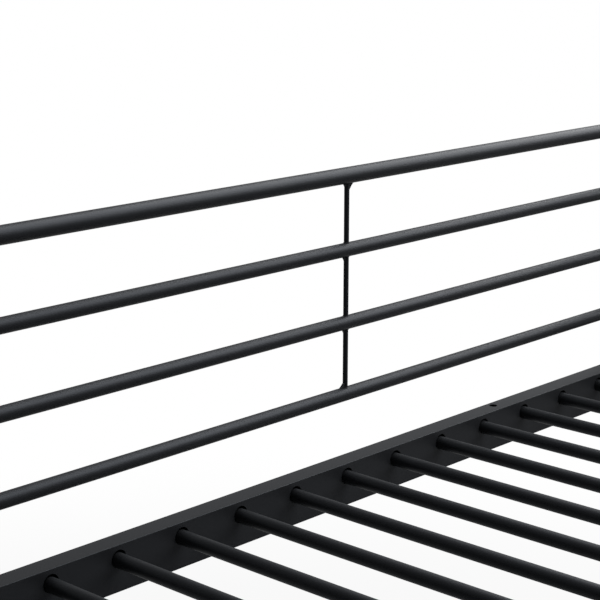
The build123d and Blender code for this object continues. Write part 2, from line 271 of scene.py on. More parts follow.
class BunkBedSizes(bpy.types.PropertyGroup):
    """Sizes of the tubes, holes and welds."""

    bar_diameter: a_length("Bar diameter", "Outer diameter of the deck bars and guard tubes", 19)
    top_tube_diameter: a_length(
        "Top tube diameter", "Outer diameter of each guard's and end's top tube", 22)
    rod_diameter: a_length("Rod diameter", "Diameter of the thin upright rods in the guards", 7)
    rung_diameter: a_length("Rung diameter", "Outer diameter of the ladder's rungs", 25)
    bend_radius: a_length(
        "Leg bend radius", "Radius of the bend in the front guard's top tube", 150)
    rail_wall: a_length("Rail wall", "Wall thickness of the side rails", 1.5)
    rail_corner: a_length("Rail corner radius", "Outer corner radius of the side rails", 0.8)
    slat_hole_diameter: a_length(
        "Bar hole diameter", "Diameter of the holes that the bars lie in", 23)
    slat_hole_drop: a_length(
        "Bar hole drop", "From a rail's top down to the centre of its bar holes", 17.9)
    leg_hole_diameter: a_length(
        "Leg hole diameter", "Diameter of the bolt holes in a rail's top face", 12)
    bead_radius: a_length("Weld bead radius", "Radius of the weld bead round a tube's end", 1.7)
    ripple_pitch: a_length("Weld ripple pitch", "Distance between two ripples of a weld bead", 2.4)
    round_sides: IntProperty(
        name="Sides of a round", description="Number of sides that a round tube is drawn with",
        default=48, min=12, max=96)


class BunkBedFinish(bpy.types.PropertyGroup):
    """Colours and textures of the finishes."""

    coat_colour: a_colour("Powder coat", "Colour of the powder coat on the steel", "#1a1b1d")
    coat_roughness: a_share("Powder coat roughness", "Roughness of the satin powder coat", 0.5)
    coat_specular: a_share("Powder coat gloss", "Strength of the powder coat's reflections", 0.175)
    coat_gloss_colour: a_colour(
        "Powder coat gloss colour", "Colour of the powder coat's reflections", "#e5efff")
    peel_size: a_length("Orange peel size", "Width of the powder coat's small waves", 2.2)
    peel_depth: a_length("Orange peel depth", "Height of the powder coat's small waves", 0.02)
    plastic_colour: a_colour("Plastic", "Colour of the feet and caps", "#161617")
    bolt_colour: a_colour("Bolt steel", "Colour of the black oxide on the bolts", "#3a3a3d")
    zinc_colour: a_colour("Zinc", "Colour of the zinc plating on the nuts", "#c3c6ca")


class BunkBedStage(bpy.types.PropertyGroup):
    """Camera and floor."""

    camera_pitch: an_angle("Camera pitch", "How far the camera looks up from level", -13.278)
    camera_yaw: an_angle("Camera yaw", "How far the camera looks from +Y towards +X", 47.134)
    camera_roll: an_angle("Camera roll", "How far the camera is turned about its own axis", 0.133)
    camera_x: a_length("Camera X", "Camera's place along the bed, from its middle", -1342.7)
    camera_distance: a_length(
        "Camera distance", "From the camera to the back guard, along Y", 1458.8)
    camera_rise: a_length("Camera rise", "Camera's height over the upper rail's top", 745.6)
    focal_pixels: FloatProperty(
        name="Focal length in pixels", description="Focal length, in pixels of a 600 pixel frame",
        default=1693.0)
    floor_colour: a_colour("Floor", "Colour of the studio floor", "#b8b8b8")


# Nodes and meshes


def feed(tree, node, inputs):
    """Set a node's inputs, each to a value, an output or a list of outputs."""
    for key, value in inputs.items():
        for source in value if isinstance(value, list) else [value]:
            if isinstance(source, bpy.types.NodeSocket):
                tree.links.new(source, node.inputs[key])
            else:
                node.inputs[key].default_value = source


def add_node(tree, kind, inputs=None, **settings):
    """Add a node with its settings and inputs."""
    node = tree.nodes.new(kind)
    for name, value in settings.items():
        setattr(node, name, value)
    feed(tree, node, inputs or {})
    return node


def calculated(tree, operation, *values):
    """The output of a math node."""
    node = add_node(tree, "ShaderNodeMath", dict(enumerate(values)), operation=operation)
    return node.outputs[0]


def new_tree(name, sockets):
    """A Geometry Nodes tree with named inputs and a material, and its input node's outputs."""
    tree = bpy.data.node_groups.new(name, "GeometryNodeTree")
    for label, kind in {**sockets, "Material": "Material"}.items():
        tree.interface.new_socket(label, in_out="INPUT", socket_type=f"NodeSocket{kind}")
    tree.interface.new_socket("Geometry", in_out="OUTPUT", socket_type="NodeSocketGeometry")
    return tree, tree.nodes.new("NodeGroupInput").outputs


def close_tree(tree, given, geometry):
    """End a tree: real copies, then their material."""
    real = add_node(tree, "GeometryNodeRealizeInstances", {"Geometry": geometry})
    painted = add_node(tree, "GeometryNodeSetMaterial",
                       {"Geometry": real.outputs[0], "Material": given["Material"]})
    add_node(tree, "NodeGroupOutput", {"Geometry": painted.outputs[0]})
    return tree


def mesh_from(name, bm):
    """A new mesh with a bmesh's shape; the bmesh is freed."""
    mesh = bpy.data.meshes.new(name)
    bm.to_mesh(mesh)
    bm.free()
    return mesh


def evaluated_mesh(piece):
    """A new plain mesh with a piece's modifiers applied."""
    bpy.context.view_layer.update()
    evaluated = piece.evaluated_get(bpy.context.evaluated_depsgraph_get())
    return bpy.data.meshes.new_from_object(evaluated)


def holder(data):
    """A linked object that holds a mesh, light or camera."""
    result = bpy.data.objects.new(data.name, data)
    bpy.context.scene.collection.objects.link(result)
    return result


def drop(*holders):
    """Remove objects that only a tree had to read."""
    for spent in holders:
        bpy.data.objects.remove(spent)


def grown(maker, inputs, finish=COAT):
    """The plain mesh in a finish that a maker's tree makes from these inputs."""
    tree = tree_of(maker)
    host = holder(bpy.data.meshes.new(tree.name))
    modifier = host.modifiers.new(tree.name, "NODES")
    modifier.node_group = tree
    identifiers = {item.name: item.identifier for item in tree.interface.items_tree
                   if item.in_out == "INPUT"}
    for name, value in {**inputs, "Material": finish_material(finish)}.items():
        modifier[identifiers[name]] = value
    mesh = evaluated_mesh(host)
    host.modifiers.remove(modifier)
    drop(host)
    if not mesh.polygons:
        raise RuntimeError(f"the tree {tree.name!r} made no faces")
    return mesh


def finish_piece(name, meshes, finish, nodes):
    """Join meshes as one piece with clean shading that rides on the body and replaces nodes."""
    bm = bmesh.new()
    for mesh in meshes:
        bm.from_mesh(mesh)
        bpy.data.meshes.remove(mesh)
    joined = mesh_from(name, bm)
    joined.materials.append(finish_material(finish))
    joined.polygons.foreach_set("material_index", [0] * len(joined.polygons))
    joined.shade_smooth()
    joined.set_sharp_from_angle(angle=SHARP_ANGLE)
    piece = holder(joined)
    piece.modifiers.new("Even shading", "WEIGHTED_NORMAL").keep_sharp = True
    shaded = evaluated_mesh(piece)
    piece.modifiers.clear()
    piece.data = shaded
    bpy.data.meshes.remove(joined)
    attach(piece, BODY)
    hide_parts(*nodes)


def islands(bm):
    """The separate groups of joined faces."""
    seen = set()
    for start in bm.faces:
        if start in seen:
            continue
        seen.add(start)
        group, queue = [], [start]
        while queue:
            face = queue.pop()
            group.append(face)
            for edge in face.edges:
                for neighbour in edge.link_faces:
                    if neighbour not in seen:
                        seen.add(neighbour)
                        queue.append(neighbour)
        yield group


def size_of(faces):
    """How far a group of faces reaches along X, Y and Z."""
    points = [vert.co for face in faces for vert in face.verts]
    return Vector([max(point[axis] for point in points) - min(point[axis] for point in points)
                   for axis in range(3)])


def round_edges(bm, edges, width, segments):
    """Bevel edges to rounds."""
    bmesh.ops.bevel(bm, geom=edges, offset=width, offset_type="OFFSET", segments=segments,
                    profile=ROUND_PROFILE, affect="EDGES", clamp_overlap=True)


def cad_solids(node, softening, wanted=None, in_region=None, long_edges_only=False):
    """Copies of a node's solids with merged triangles and rounded edges.

    wanted picks solids by their size. in_region picks triangles by centre and normal first,
    for solids whose corners touch another's.
    """
    bm = bmesh.new()
    bm.from_mesh(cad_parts[node].data)
    if in_region:
        bm.normal_update()
        left_out = [face for face in bm.faces
                    if not in_region(face.calc_center_median(), face.normal)]
        bmesh.ops.delete(bm, geom=left_out, context="FACES")
    bmesh.ops.remove_doubles(bm, verts=bm.verts, dist=MERGE_DISTANCE)
    if wanted:
        left_out = [face for group in islands(bm) if not wanted(size_of(group))
                    for face in group]
        bmesh.ops.delete(bm, geom=left_out, context="FACES")
    bmesh.ops.dissolve_limit(bm, angle_limit=FLAT_ANGLE, verts=bm.verts, edges=bm.edges)
    chosen = [edge for edge in bm.edges if len(edge.link_faces) == 2
              and edge.calc_face_angle() > SHARP_ANGLE
              and (not long_edges_only or edge.calc_length() > LONG_EDGE)]
    if not chosen:
        raise RuntimeError(f"the node {node!r} has no edges to round")
    round_edges(bm, chosen, softening, EDGE_SEGMENTS)
    return mesh_from(f"{node}_solids", bm)


# Finishes


def new_material(name):
    """A node material: itself, its tree, its shader and its Object coordinates."""
    material = bpy.data.materials.new(name)
    material.use_nodes = True
    tree = material.node_tree
    place = add_node(tree, "ShaderNodeTexCoord").outputs["Object"]
    return material, tree, tree.nodes["Principled BSDF"], place


def noise_range(tree, place, width, low, high):
    """Noise with waves of a real width, spread from low to high."""
    noise = add_node(tree, "ShaderNodeTexNoise", {"Vector": place, "Scale": 1 / width})
    return add_node(tree, "ShaderNodeMapRange", {
        "Value": noise.outputs["Fac"], "From Min": NOISE_LOW, "From Max": NOISE_HIGH,
        "To Min": low, "To Max": high}).outputs["Result"]


def varied(tree, place, width, share):
    """Noise that varies round 1 by a share."""
    return noise_range(tree, place, width, 1 - share, 1 + share)


def tint(tree, shader, colour, value):
    """Colour the shader, darker and lighter by a value that varies round 1."""
    shade = add_node(tree, "ShaderNodeHueSaturation", {"Color": colour, "Value": value})
    feed(tree, shader, {"Base Color": shade.outputs["Color"]})


def emboss(tree, shader, height, depth):
    """Bump the shader's surface by a height pattern of a real depth."""
    bump = add_node(tree, "ShaderNodeBump", {"Distance": depth, "Height": height})
    feed(tree, shader, {"Normal": bump.outputs["Normal"]})


def coat_material():
    """Satin black powder coat on steel: even and dark, with a soft sheen and a slight peel."""
    finish = bpy.context.scene.bunk_bed_finish
    material, tree, shader, place = new_material(COAT)
    # Cured powder flows into low waves, the orange peel
    emboss(tree, shader, noise_range(tree, place, finish.peel_size, 0, 1), finish.peel_depth)
    # The coat's thickness drifts along a tube, which shows a little in its colour and sheen
    drift = varied(tree, place, COLOUR_DRIFT, COAT_SPREAD)
    tint(tree, shader, finish.coat_colour, drift)
    feed(tree, shader, {
        "Roughness": calculated(tree, "MULTIPLY", drift, finish.coat_roughness),
        "IOR": COAT_IOR, "Specular IOR Level": finish.coat_specular,
        "Specular Tint": finish.coat_gloss_colour})
    return material


def plastic_material():
    """Moulded polypropylene: matt, with the fine grain of its mould."""
    finish = bpy.context.scene.bunk_bed_finish
    material, tree, shader, place = new_material(PLASTIC)
    emboss(tree, shader, noise_range(tree, place, MOULD_GRAIN, 0, 1), MOULD_DEPTH)
    tint(tree, shader, finish.plastic_colour,
         varied(tree, place, COLOUR_DRIFT, PLASTIC_SPREAD))
    feed(tree, shader, {"IOR": PLASTIC_IOR, "Roughness": PLASTIC_ROUGHNESS})
    return material


def metal_material(name, colour, roughness):
    """A plated metal with faint cloudy patches in its colour and roughness."""
    material, tree, shader, place = new_material(name)
    tint(tree, shader, colour, varied(tree, place, METAL_PATCH, METAL_SPREAD))
    patches = noise_range(tree, place, METAL_PATCH, roughness - METAL_ROUGHNESS_SPREAD,
                          roughness + METAL_ROUGHNESS_SPREAD)
    feed(tree, shader, {"Roughness": patches, "Metallic": 1.0})
    return material


def bolt_material():
    """Black oxide on steel: a thin dark film that the metal's glint still comes through."""
    return metal_material(BOLT_STEEL, bpy.context.scene.bunk_bed_finish.bolt_colour,
                          OXIDE_ROUGHNESS)


def zinc_material():
    """Zinc plating on steel: pale, cool and a little cloudy."""
    return metal_material(ZINC, bpy.context.scene.bunk_bed_finish.zinc_colour, ZINC_ROUGHNESS)


def finish_material(name):
    """The finish of this name, made once."""
    makers = {COAT: coat_material, PLASTIC: plastic_material, BOLT_STEEL: bolt_material,
              ZINC: zinc_material}
    return bpy.data.materials.get(name) or makers[name]()


# Geometry Nodes trees


def tree_of(maker):
    """The tree that a maker builds, made once."""
    if maker.__name__ not in TREES:
        TREES[maker.__name__] = maker()
    return TREES[maker.__name__]


def round_bar(tree, given, path):
    """A round bar of the given diameter and sides along a path, inside a tree."""
    ring = add_node(tree, "GeometryNodeCurvePrimitiveCircle", {
        "Resolution": given["Sides"],
        "Radius": calculated(tree, "DIVIDE", given["Diameter"], 2.0)})
    return add_node(tree, "GeometryNodeCurveToMesh", {
        "Curve": path, "Profile Curve": ring.outputs[0], "Fill Caps": True}).outputs[0]


def bar_row_tree():
    """A row of straight round bars: each lies along Along, and Step leads to the next."""
    tree, given = new_tree("Bar row", {
        "Start": "Vector", "Step": "Vector", "Count": "Int", "Along": "Vector",
        "Diameter": "Float", "Sides": "Int"})
    points = add_node(tree, "GeometryNodeMeshLine", {
        "Count": given["Count"], "Start Location": given["Start"], "Offset": given["Step"]})
    ends = [add_node(tree, "ShaderNodeVectorMath", {0: given["Along"], "Scale": share},
                     operation="SCALE").outputs[0] for share in (-0.5, 0.5)]
    line = add_node(tree, "GeometryNodeCurvePrimitiveLine", {"Start": ends[0], "End": ends[1]})
    row = add_node(tree, "GeometryNodeInstanceOnPoints", {
        "Points": points.outputs[0], "Instance": round_bar(tree, given, line.outputs[0])})
    return close_tree(tree, given, row.outputs[0])


def bent_bar_tree():
    """A round bar along a path of straight runs with rounded corners."""
    tree, given = new_tree("Bent bar", {
        "Path": "Object", "Bend Radius": "Float", "Diameter": "Float", "Sides": "Int"})
    path = add_node(tree, "GeometryNodeObjectInfo", {"Object": given["Path"]})
    runs = add_node(tree, "GeometryNodeMeshToCurve", {"Mesh": path.outputs["Geometry"]})
    bends = add_node(tree, "GeometryNodeFilletCurve", {
        "Curve": runs.outputs[0], "Radius": given["Bend Radius"], "Count": BEND_STEPS},
        mode="POLY")
    return close_tree(tree, given, round_bar(tree, given, bends.outputs[0]))


def rounded_box(tree, width, height, corner, length):
    """A box along X with rounded long edges, inside a tree."""
    outline = add_node(tree, "GeometryNodeCurvePrimitiveQuadrilateral", {
        "Width": height, "Height": width})
    rounded = add_node(tree, "GeometryNodeFilletCurve", {
        "Curve": outline.outputs[0], "Radius": corner, "Count": CORNER_STEPS}, mode="POLY")
    end = add_node(tree, "ShaderNodeCombineXYZ", {"Z": length})
    line = add_node(tree, "GeometryNodeCurvePrimitiveLine", {"End": end.outputs[0]})
    box = add_node(tree, "GeometryNodeCurveToMesh", {
        "Curve": line.outputs[0], "Profile Curve": rounded.outputs[0], "Fill Caps": True})
    back = add_node(tree, "ShaderNodeCombineXYZ", {
        "X": calculated(tree, "MULTIPLY", length, -0.5)})
    return add_node(tree, "GeometryNodeTransform", {
        "Geometry": box.outputs[0], "Rotation": (0, QUARTER, 0),
        "Translation": back.outputs[0]}).outputs[0]


def punched_tube_tree():
    """A rectangular tube along X, with a row of round holes and other cuts through its wall."""
    tree, given = new_tree("Punched tube", {
        "Centre": "Vector", "Length": "Float", "Width": "Float", "Height": "Float",
        "Wall": "Float", "Corner Radius": "Float", "Hole Start": "Vector",
        "Hole Step": "Vector", "Hole Count": "Int", "Hole Diameter": "Float",
        "Hole Sides": "Int", "Other Cuts": "Object"})

    def less_walls(socket, walls):
        taken = calculated(tree, "MULTIPLY", given["Wall"], walls)
        return calculated(tree, "SUBTRACT", socket, taken)

    outside = rounded_box(tree, given["Width"], given["Height"], given["Corner Radius"],
                          given["Length"])
    inside = rounded_box(tree, less_walls(given["Width"], 2.0), less_walls(given["Height"], 2.0),
                         less_walls(given["Corner Radius"], BORE_CORNER_WALLS),
                         less_walls(given["Length"], -BORE_EXTRA_WALLS))
    punch = add_node(tree, "GeometryNodeMeshCylinder", {
        "Vertices": given["Hole Sides"],
        "Radius": calculated(tree, "DIVIDE", given["Hole Diameter"], 2.0),
        "Depth": calculated(tree, "MULTIPLY", given["Wall"], PUNCH_WALLS)})
    points = add_node(tree, "GeometryNodeMeshLine", {
        "Count": given["Hole Count"], "Start Location": given["Hole Start"],
        "Offset": given["Hole Step"]})
    punches = add_node(tree, "GeometryNodeInstanceOnPoints", {
        "Points": points.outputs[0], "Instance": punch.outputs["Mesh"],
        "Rotation": (QUARTER, 0, 0)})
    holes = add_node(tree, "GeometryNodeRealizeInstances", {"Geometry": punches.outputs[0]})
    other = add_node(tree, "GeometryNodeObjectInfo", {"Object": given["Other Cuts"]})
    cut = add_node(tree, "GeometryNodeMeshBoolean", {
        "Mesh 1": outside, "Mesh 2": [inside, holes.outputs[0], other.outputs["Geometry"]]},
        operation="DIFFERENCE", solver="EXACT")
    placed = add_node(tree, "GeometryNodeTransform", {
        "Geometry": cut.outputs["Mesh"], "Translation": given["Centre"]})
    return close_tree(tree, given, placed.outputs[0])


def weld_bead_tree():
    """A rippled weld bead along each loop of a path."""
    tree, given = new_tree("Weld bead", {
        "Path": "Object", "Bead Radius": "Float", "Ripple Pitch": "Float"})
    path = add_node(tree, "GeometryNodeObjectInfo", {"Object": given["Path"]})
    loops = add_node(tree, "GeometryNodeMeshToCurve", {"Mesh": path.outputs["Geometry"]})
    line = add_node(tree, "GeometryNodeResampleCurve", {
        "Curve": loops.outputs[0],
        "Length": calculated(tree, "DIVIDE", given["Ripple Pitch"], RIPPLE_POINTS)},
        mode="LENGTH")
    run = add_node(tree, "GeometryNodeSplineParameter")
    turns = calculated(tree, "DIVIDE", run.outputs["Length"], given["Ripple Pitch"])
    wave = calculated(tree, "SINE", calculated(tree, "MULTIPLY", turns, 2 * math.pi))
    ring = add_node(tree, "GeometryNodeCurvePrimitiveCircle", {
        "Resolution": BEAD_SIDES, "Radius": given["Bead Radius"]})
    bead = add_node(tree, "GeometryNodeCurveToMesh", {
        "Curve": line.outputs[0], "Profile Curve": ring.outputs[0],
        "Scale": calculated(tree, "MULTIPLY_ADD", wave, RIPPLE_SHARE, 1.0)})
    return close_tree(tree, given, bead.outputs[0])


def copies_tree():
    """Copies of one small shape at the places' points, turned and sized by their attributes."""
    tree, given = new_tree("Copies", {"Places": "Object", "Shape": "Object"})
    places = add_node(tree, "GeometryNodeObjectInfo", {"Object": given["Places"]})
    shape = add_node(tree, "GeometryNodeObjectInfo", {"Object": given["Shape"]})
    turn, size = [add_node(tree, "GeometryNodeInputNamedAttribute", {"Name": name},
                           data_type="FLOAT_VECTOR").outputs[0] for name in ("turn", "size")]
    rotation = add_node(tree, "FunctionNodeEulerToRotation", {"Euler": turn})
    copies = add_node(tree, "GeometryNodeInstanceOnPoints", {
        "Points": places.outputs["Geometry"], "Instance": shape.outputs["Geometry"],
        "Rotation": rotation.outputs[0], "Scale": size})
    return close_tree(tree, given, copies.outputs[0])


# Shapes of the bed


def bar_row(start, step, count, along, diameter):
    """The mesh of a row of round bars."""
    return grown(bar_row_tree, {
        "Start": start, "Step": step, "Count": count, "Along": along, "Diameter": diameter,
        "Sides": bpy.context.scene.bunk_bed_sizes.round_sides})


def copies(name, shape, places, finish):
    """The mesh of a small shape's copies at (place, turn, size)."""
    mesh = bpy.data.meshes.new(name)
    mesh.from_pydata([entry[0] for entry in places], [], [])
    for label, column in (("turn", 1), ("size", 2)):
        attribute = mesh.attributes.new(label, "FLOAT_VECTOR", "POINT")
        for index, entry in enumerate(places):
            attribute.data[index].vector = entry[column]
    points = holder(mesh)
    result = grown(copies_tree, {"Places": points, "Shape": shape}, finish)
    drop(points, shape)
    return result


def path_object(name, loops, closed=True):
    """An object whose edges run through the points of each loop."""
    mesh = bpy.data.meshes.new(name)
    points, edges = [], []
    for loop in loops:
        first = len(points)
        points.extend(loop)
        count = len(loop) if closed else len(loop) - 1
        edges.extend((first + index, first + (index + 1) % len(loop)) for index in range(count))
    mesh.from_pydata(points, edges, [])
    return holder(mesh)


def weld_beads(loops, bead_radius=None):
    """The mesh of a rippled bead along each loop of points."""
    sizes = bpy.context.scene.bunk_bed_sizes
    path = path_object("weld_path", loops)
    result = grown(weld_bead_tree, {
        "Path": path, "Bead Radius": bead_radius or sizes.bead_radius,
        "Ripple Pitch": sizes.ripple_pitch})
    drop(path)
    return result


def round_seam(centre, out, across, radius, main_radius=None):
    """The loop where a round bar meets a flat wall, or a tube of main_radius along across.

    centre is on the wall or the tube's axis, and out points along the bar.
    """
    out, across = Vector(out), Vector(across)
    third = out.cross(across)
    loop = []
    for index in range(SEAM_STEPS):
        angle = 2 * math.pi * index / SEAM_STEPS
        side = radius * math.sin(angle)
        lift = math.sqrt(main_radius ** 2 - side ** 2) if main_radius else 0
        loop.append(Vector(centre) + out * lift + across * radius * math.cos(angle)
                    + third * side)
    return loop


def box_seam(centre, half_x, half_z):
    """The loop where a rectangular tube along Y meets a flat wall."""
    corners = ((-half_x, -half_z), (half_x, -half_z), (half_x, half_z), (-half_x, half_z))
    return [Vector(centre) + Vector((x, 0, z)) for x, z in corners]


def guard_level(deck, level):
    """The height of a guard tube's axis; the tubes of the ends lie alike."""
    return RAIL_TOPS[deck] + GUARD_LOW + level * GUARD_PITCH


def guard_diameter(level):
    """The diameter of a guard tube: the top one is larger."""
    sizes = bpy.context.scene.bunk_bed_sizes
    return sizes.top_tube_diameter if level == TOP_LEVEL else sizes.bar_diameter


def level_tubes(deck, x, y, along):
    """The tubes of a guard or end, which lie along a vector: the lower ones and the top one."""
    return [bar_row((x, y, guard_level(deck, level)), (0, 0, GUARD_PITCH), count, along,
                    guard_diameter(level)) for level, count in ((0, TOP_LEVEL), (TOP_LEVEL, 1))]


def tube_seams(deck, places, out, across):
    """The loops where a guard's or end's tubes meet the walls at these X and Y."""
    return [round_seam((x, y, guard_level(deck, level)), out, across, guard_diameter(level) / 2)
            for x, y in places for level in range(GUARD_LEVELS)]


def rods_and_welds(y):
    """The thin rods between a guard's tubes, with a bead and fillets at their ends."""
    sizes = bpy.context.scene.bunk_bed_sizes
    meshes, loops, fillets = [], [], []
    for level in range(TOP_LEVEL):
        low = guard_level("upper", level)
        high = guard_level("upper", level + 1)
        meshes.append(bar_row((ROD_XS[0], y, (low + high) / 2), (ROD_SPACING, 0, 0),
                              len(ROD_XS), (0, 0, GUARD_PITCH - sizes.bar_diameter / 2),
                              sizes.rod_diameter))
        for x in ROD_XS:
            for z, way, tube_level in ((low, 1, level), (high, -1, level + 1)):
                loops.append(round_seam((x, y, z), (0, 0, way), ALONG_X,
                                        sizes.rod_diameter / 2, guard_diameter(tube_level) / 2))
    for x in ROD_XS:
        for level, side, where, width, height in ROD_FILLETS:
            lift = (-1 if where == "below" else 1) * guard_diameter(level) / 2
            place = (x + side * sizes.rod_diameter / 2, y, guard_level("upper", level) + lift)
            fillets.append((place, FILLET_TURNS[where, side], (width, ROD_FILLET_DEPTH, height)))
    meshes.append(weld_beads(loops, ROD_BEAD_RADIUS))
    meshes.append(copies("rod_fillets", fillet_shape(), fillets, COAT))
    return meshes


def fillet_shape():
    """A weld fillet of unit size: its legs run along +X under a tube and down -Z on a rod."""
    bm = bmesh.new()
    sides = [[bm.verts.new((x, way * half_depth, z)) for x, z, half_depth in FILLET_OUTLINE]
             for way in (-1, 1)]
    bm.faces.new(sides[0])
    bm.faces.new(reversed(sides[1]))
    for index in range(len(FILLET_OUTLINE)):
        following = (index + 1) % len(FILLET_OUTLINE)
        bm.faces.new((sides[0][following], sides[0][index], sides[1][index],
                      sides[1][following]))
    bmesh.ops.recalc_face_normals(bm, faces=bm.faces)
    round_edges(bm, bm.edges[:], FILLET_SOFTENING, FILLET_SEGMENTS)
    return holder(mesh_from("weld_fillet", bm))


def socket_bolt(diameter, length):
    """A button-headed bolt with a hexagon socket: seat at Z = 0, head down and shank up."""
    shank = diameter / 2
    rim = diameter * BOLT_HEAD_SHARE / 2
    head = diameter * BOLT_HEAD_HEIGHT_SHARE
    socket = diameter * BOLT_SOCKET_SHARE / 2
    tip = diameter * BOLT_TIP_SHARE
    round_rings = [(shank - tip, length), (shank, length - tip), (shank, 0)]
    round_rings += [(rim * wide, -head * deep) for wide, deep in HEAD_OUTLINE]
    socket_rings = [(socket, -head), (socket, -head * SOCKET_END_SHARE)]
    bm = bmesh.new()
    loops = []
    for radius, z in round_rings + socket_rings:
        is_hexagon = len(loops) >= len(round_rings)
        loop = []
        for index in range(BOLT_SIDES):
            angle = 2 * math.pi * index / BOLT_SIDES
            to_flat = (angle + math.pi / 6) % (math.pi / 3) - math.pi / 6
            reach = radius / math.cos(to_flat) if is_hexagon else radius
            loop.append(bm.verts.new((reach * math.cos(angle), reach * math.sin(angle), z)))
        loops.append(loop)
    for first, second in zip(loops, loops[1:]):
        for index in range(BOLT_SIDES):
            following = (index + 1) % BOLT_SIDES
            bm.faces.new((first[index], first[following], second[following], second[index]))
    bm.faces.new(loops[0])
    bm.faces.new(loops[-1])
    bmesh.ops.recalc_face_normals(bm, faces=bm.faces)
    return holder(mesh_from("socket_bolt", bm))


def add_cutter(bm, place, way, diameter):
    """Add a short cylinder that cuts a hole through one wall."""
    turn = Matrix.Identity(4) if way == "+Z" else Matrix.Rotation(QUARTER, 4, "X")
    bmesh.ops.create_cone(bm, cap_ends=True, segments=HOLE_SIDES, radius1=diameter / 2,
                          radius2=diameter / 2, depth=CUTTER_DEPTH,
                          matrix=Matrix.Translation(place) @ turn)


# Operators


class BUNKBED_OT_decks(bpy.types.Operator):
    """Make the round cross bars of both decks"""

    bl_idname = "bunk_bed.decks"
    bl_label = "Deck bars"

    def execute(self, context):
        sizes = context.scene.bunk_bed_sizes
        for deck in RAIL_TOPS:
            bars = bar_row(middle(f"{deck}_slat_01"), (SLAT_PITCH, 0, 0), SLAT_COUNT,
                           (0, SLAT_LENGTH, 0), sizes.bar_diameter)
            nodes = [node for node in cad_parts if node.startswith(f"{deck}_slat_")]
            finish_piece(f"{deck}_deck_bars", [bars], COAT, nodes)
        return {"FINISHED"}


class BUNKBED_OT_side_rails(bpy.types.Operator):
    """Make the punched side rails with their hook plates"""

    bl_idname = "bunk_bed.side_rails"
    bl_label = "Side rails"

    def execute(self, context):
        sizes = context.scene.bunk_bed_sizes
        for deck, rail_top in RAIL_TOPS.items():
            for row, y, outward in (("back", BACK_Y, 1), ("front", FRONT_Y, -1)):
                node = f"{deck}_{row}_rail"
                cuts = self.other_cuts(deck, row, outward)
                first_hole = (-SLAT_PITCH * (SLAT_COUNT - 1) / 2, -outward * RAIL_WIDTH / 2,
                              RAIL_HEIGHT / 2 - sizes.slat_hole_drop)
                tube = grown(punched_tube_tree, {
                    "Centre": (0, y, rail_top - RAIL_HEIGHT / 2),
                    "Length": 2 * (HALF_CLEAR - RAIL_END_PLATE), "Width": RAIL_WIDTH,
                    "Height": RAIL_HEIGHT, "Wall": sizes.rail_wall,
                    "Corner Radius": sizes.rail_corner, "Hole Start": first_hole,
                    "Hole Step": (SLAT_PITCH, 0, 0), "Hole Count": SLAT_COUNT,
                    "Hole Diameter": sizes.slat_hole_diameter, "Hole Sides": HOLE_SIDES,
                    "Other Cuts": cuts})
                drop(cuts)
                hooks = cad_solids(node, SHEET_SOFTENING, in_region=self.on_end_plate)
                finish_piece(f"{node}_steel", [tube, hooks], COAT, [node])
        return {"FINISHED"}

    @staticmethod
    def on_end_plate(centre, normal):
        """Whether a triangle is part of a hook plate, and not of the tube that ends there."""
        beyond = abs(centre.x) - (HALF_CLEAR - RAIL_END_PLATE)
        return beyond > MERGE_DISTANCE or beyond > -MERGE_DISTANCE and normal.x * centre.x < 0

    @staticmethod
    def other_cuts(deck, row, outward):
        """The bolt holes of a rail, as cutters round the rail's own centre."""
        sizes = bpy.context.scene.bunk_bed_sizes
        bm = bmesh.new()
        if deck == "upper":
            for x in (-LEG_HOLE_X, LEG_HOLE_X):
                place = Vector((x, outward * LEG_HOLE_OFFSET, RAIL_HEIGHT / 2))
                add_cutter(bm, place, "+Z", sizes.leg_hole_diameter)
        if row == "front":
            for x in UPRIGHT_XS:
                place = Vector((x, outward * RAIL_WIDTH / 2, 0))
                add_cutter(bm, place, "+Y", SMALL_BOLT + BOLT_HOLE_PLAY)
        return holder(mesh_from("rail_cuts", bm))


class BUNKBED_OT_end_frames(bpy.types.Operator):
    """Make the welded end frames"""

    bl_idname = "bunk_bed.end_frames"
    bl_label = "End frames"

    def execute(self, context):
        inner_ys = (FRONT_Y + POST_SIDE / 2, BACK_Y - POST_SIDE / 2)
        centre_y = sum(inner_ys) / 2
        span = inner_ys[1] - inner_ys[0]
        for deck, rail_top in RAIL_TOPS.items():
            for name, x in (("left", -POST_X), ("right", POST_X)):
                node = f"{deck}_{name}_end"
                meshes = [
                    cad_solids(node, POST_SOFTENING, lambda size: size.z > POST_LENGTH_MIN,
                               long_edges_only=True),
                    cad_solids(node, TUBE_SOFTENING, lambda size: size.y > span / 2
                               and size.z > RAIL_HEIGHT / 2, long_edges_only=True)]
                meshes += level_tubes(deck, x, centre_y, (0, span, 0))
                loops = tube_seams(deck, [(x, y) for y in inner_ys], ALONG_Y, ALONG_X)
                loops += [box_seam((x, y, rail_top - RAIL_HEIGHT / 2), RAIL_WIDTH / 2,
                                   RAIL_HEIGHT / 2) for y in inner_ys]
                meshes.append(weld_beads(loops))
                finish_piece(f"{node}_frame", meshes, COAT, [node])
        return {"FINISHED"}


